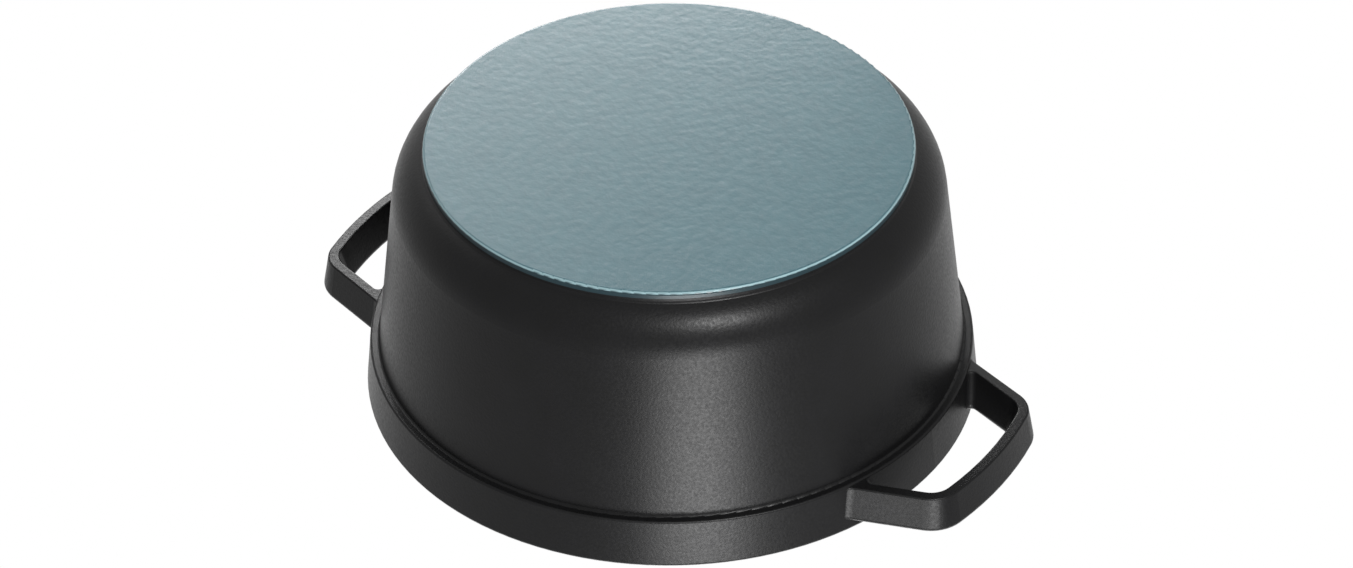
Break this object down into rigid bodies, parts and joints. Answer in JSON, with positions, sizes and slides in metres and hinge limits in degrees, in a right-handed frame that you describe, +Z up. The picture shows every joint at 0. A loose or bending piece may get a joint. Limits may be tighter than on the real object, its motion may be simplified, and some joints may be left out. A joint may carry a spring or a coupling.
{
  "type": "dutch oven",
  "caption": "Round enamelled cast iron dutch oven with loop handles cast into its rim band, a lift-off domed lid and a steel knob.",
  "frame": {"origin": "centre of the base's resting face", "axes": "+Z up, out of the pot's mouth and through the knob; +X through the middle of a handle"},
  "size_m": [0.249, 0.1996, 0.1391],
  "materials": {
    "black_enamelled_iron": "matte black enamel with a fine grain",
    "base_enamel": "smooth blue-grey enamel with a faint orange peel",
    "knob_steel": "turned and brushed",
    "silicone": "matte",
    "fastener_steel": "plain stainless"
  },
  "bodies": {
    "vessel": {"pot": "black_enamelled_iron", "base_enamel": "base_enamel"},
    "cover": {"lid": "black_enamelled_iron", "knob": "knob_steel", "knob_gasket": "silicone", "screw_washer": "fastener_steel", "knob_screw": "fastener_steel"}
  },
  "joints": [
    {"name": "lid_lift", "type": "slide", "parent": "vessel", "child": "cover", "axis": [0, 0, 1], "range_m": [0, 0.12]}
  ]
}
